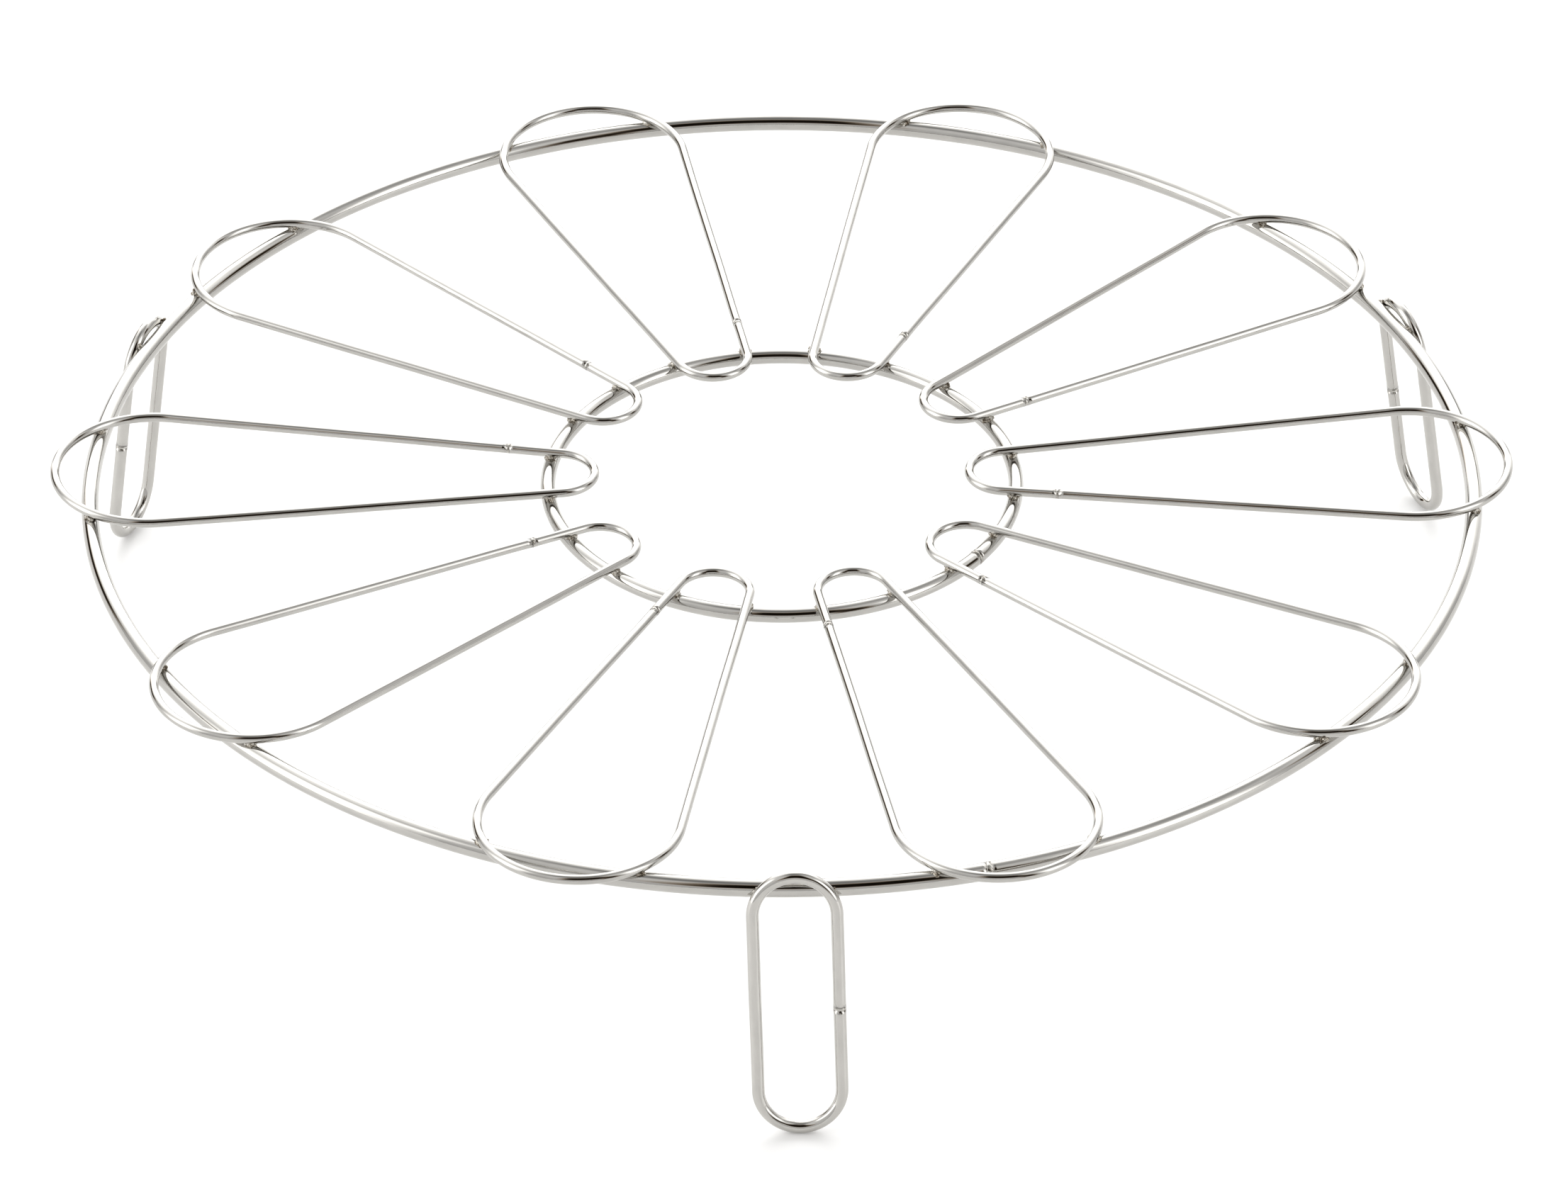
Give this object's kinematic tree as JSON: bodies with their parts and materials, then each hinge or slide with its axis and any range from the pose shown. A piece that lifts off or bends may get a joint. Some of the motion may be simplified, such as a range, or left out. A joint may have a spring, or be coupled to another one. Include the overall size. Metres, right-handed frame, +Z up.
{
  "type": "test tube holder",
  "caption": "Round welded wire rack: tapered wire loops fan out like petals over an inner and an outer ring, held up on upright wire loop legs.",
  "frame": {"origin": "bottom centre of the bounding box, on the level the legs stand on; the rings' axis is 6.4 mm behind it", "axes": "+Z up along the rings' axis, -Y towards the single front leg, +X to the right seen from the front"},
  "size_m": [0.3388, 0.3372, 0.0618],
  "materials": {
    "ring_wire": "bright drawn stainless wire, polished",
    "petal_wire": "bright drawn stainless wire, slightly satin",
    "leg_wire": "bright drawn stainless wire, polished",
    "weld_metal": "resistance-weld metal, pickled, slightly darker"
  },
  "bodies": {
    "root": {"outer_ring": "ring_wire", "inner_ring": "ring_wire", "outer_ring_butt_weld": "weld_metal", "inner_ring_butt_weld": "weld_metal", "petal_01": "petal_wire", "petal_01_butt_weld": "weld_metal", "petal_01_welds": "weld_metal", "petal_02": "petal_wire", "petal_02_butt_weld": "weld_metal", "petal_02_welds": "weld_metal", "petal_03": "petal_wire", "petal_03_butt_weld": "weld_metal", "petal_03_welds": "weld_metal", "petal_04": "petal_wire", "petal_04_butt_weld": "weld_metal", "petal_04_welds": "weld_metal", "petal_05": "petal_wire", "petal_05_butt_weld": "weld_metal", "petal_05_welds": "weld_metal", "petal_06": "petal_wire", "petal_06_butt_weld": "weld_metal", "petal_06_welds": "weld_metal", "petal_07": "petal_wire", "petal_07_butt_weld": "weld_metal", "petal_07_welds": "weld_metal", "petal_08": "petal_wire", "petal_08_butt_weld": "weld_metal", "petal_08_welds": "weld_metal", "petal_09": "petal_wire", "petal_09_butt_weld": "weld_metal", "petal_09_welds": "weld_metal", "petal_10": "petal_wire", "petal_10_butt_weld": "weld_metal", "petal_10_welds": "weld_metal", "leg_front": "leg_wire", "leg_front_butt_weld": "weld_metal", "leg_front_welds": "weld_metal", "leg_rear_right": "leg_wire", "leg_rear_right_butt_weld": "weld_metal", "leg_rear_right_welds": "weld_metal", "leg_rear_left": "leg_wire", "leg_rear_left_butt_weld": "weld_metal", "leg_rear_left_welds": "weld_metal"}
  },
  "joints": []
}
